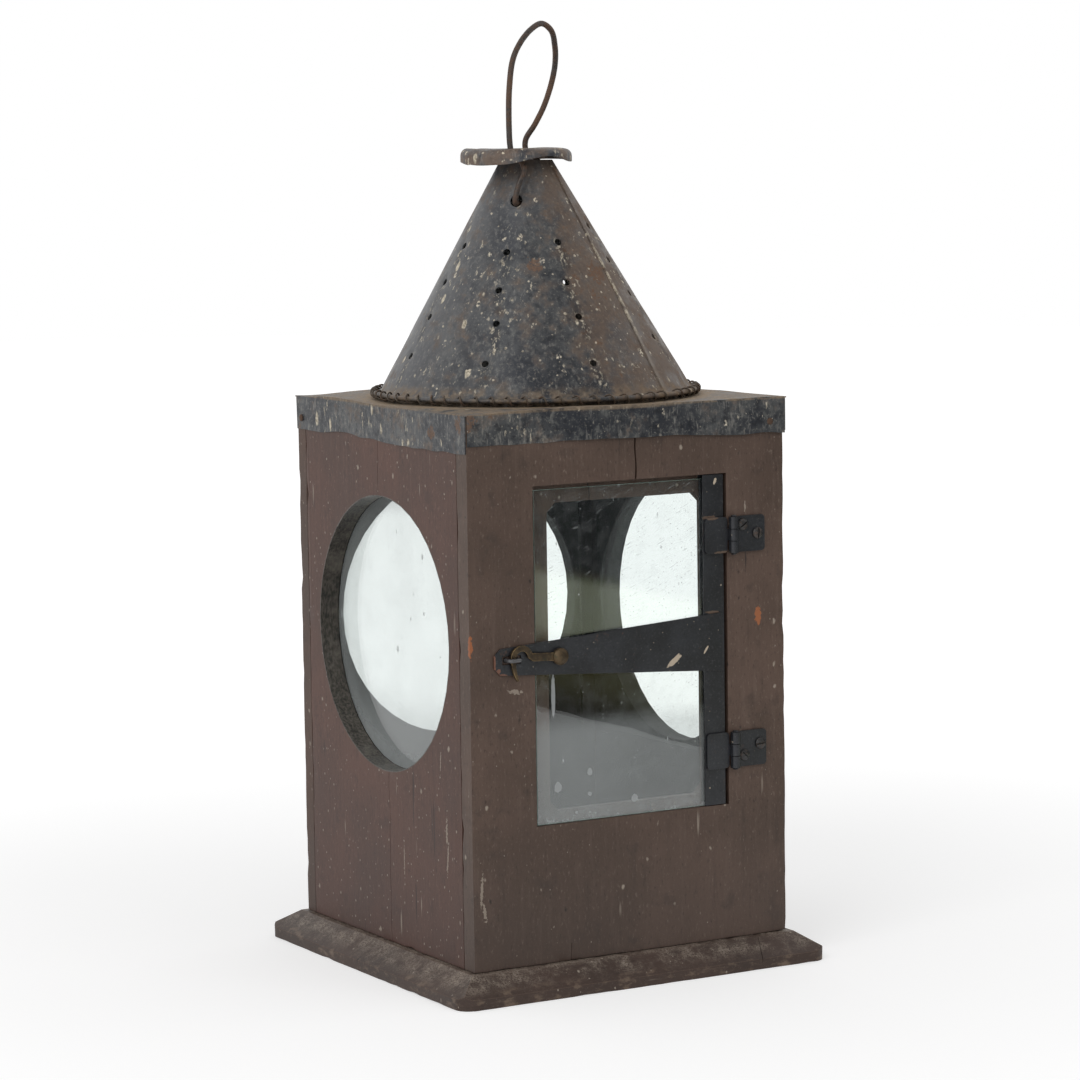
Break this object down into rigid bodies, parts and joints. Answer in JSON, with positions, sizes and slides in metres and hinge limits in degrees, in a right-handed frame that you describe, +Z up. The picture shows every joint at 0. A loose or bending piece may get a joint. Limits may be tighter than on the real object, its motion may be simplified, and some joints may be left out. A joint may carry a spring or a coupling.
{
  "type": "stable lantern",
  "caption": "Square wooden candle lantern with a glazed latched door, round side windows, a pierced sheet-metal chimney, a smoke cap and a wire bail.",
  "frame": {"origin": "middle of the base board's underside", "axes": "+Z up; the door faces -Y; +X is towards the door's hinges"},
  "size_m": [0.223, 0.223, 0.4994],
  "materials": {
    "painted_wood": "old brown paint, worn satin",
    "dark_tin": "weathered dark tin with rust and limewash specks",
    "dull_tin": "dull aged tinplate",
    "rusty_wire": "rusty iron wire",
    "rusty_nail": "rusty nail heads",
    "grey_iron": "bare iron, slightly worn bright",
    "old_brass": "dark tarnished brass",
    "old_glass": "old clear glass, dusty and limescaled"
  },
  "bodies": {
    "case": {"back_board": "painted_wood", "back_pane": "old_glass", "base_board": "painted_wood", "base_nail_1": "rusty_nail", "base_nail_2": "rusty_nail", "base_nail_3": "rusty_nail", "base_nail_4": "rusty_nail", "candle_cup": "dull_tin", "cap_nail_1": "rusty_nail", "cap_nail_2": "rusty_nail", "cap_nail_3": "rusty_nail", "cap_nail_4": "rusty_nail", "cap_sheet": "dark_tin", "case_nail_1": "rusty_nail", "case_nail_2": "rusty_nail", "case_nail_3": "rusty_nail", "case_nail_4": "rusty_nail", "case_nail_5": "rusty_nail", "case_nail_6": "rusty_nail", "case_nail_7": "rusty_nail", "case_nail_8": "rusty_nail", "chimney_cone": "dark_tin", "drip_pan": "dull_tin", "front_board": "painted_wood", "glazing_brad_1": "grey_iron", "glazing_brad_2": "grey_iron", "glazing_brad_3": "grey_iron", "glazing_brad_4": "grey_iron", "glazing_brad_5": "grey_iron", "glazing_brad_6": "grey_iron", "hinge_screw_1": "grey_iron", "hinge_screw_2": "grey_iron", "hinge_screw_3": "grey_iron", "hinge_screw_4": "grey_iron", "lacing_wire": "rusty_wire", "latch_staple": "grey_iron", "left_board": "painted_wood", "left_pane": "old_glass", "lower_hinge_case_leaf": "dark_tin", "lower_hinge_pin": "grey_iron", "pan_nail_1": "rusty_nail", "pan_nail_2": "rusty_nail", "right_board": "painted_wood", "right_pane": "old_glass", "upper_hinge_case_leaf": "dark_tin", "upper_hinge_pin": "grey_iron"},
    "door": {"door_glass": "old_glass", "door_stile": "dark_tin", "door_hasp": "dark_tin", "upper_hinge_door_leaf": "dark_tin", "lower_hinge_door_leaf": "dark_tin", "hook_rivet": "old_brass"},
    "hook": {"latch_hook": "old_brass"},
    "bail": {"bail_wire": "rusty_wire"},
    "smoke_cap": {"smoke_cap": "dark_tin"}
  },
  "joints": [
    {"name": "door_hinge", "type": "hinge", "parent": "case", "child": "door", "pos_m": [0.0622, -0.0979, 0.174], "axis": [0, 0, 1], "range_deg": [0, 170]},
    {"name": "hook_pivot", "type": "hinge", "parent": "door", "child": "hook", "pos_m": [-0.0437, -0.0973, 0.1745], "axis": [0, 1, 0], "range_deg": [0, 110]},
    {"name": "bail_rock", "type": "hinge", "parent": "case", "child": "bail", "pos_m": [-0.0032, 0.00191, 0.4038], "axis": [-0.6547, -0.7559, 0], "range_deg": [-4, 4]},
    {"name": "smoke_cap_slide", "type": "slide", "parent": "bail", "child": "smoke_cap", "axis": [0, 0, 1], "range_m": [0, 0.004]}
  ]
}
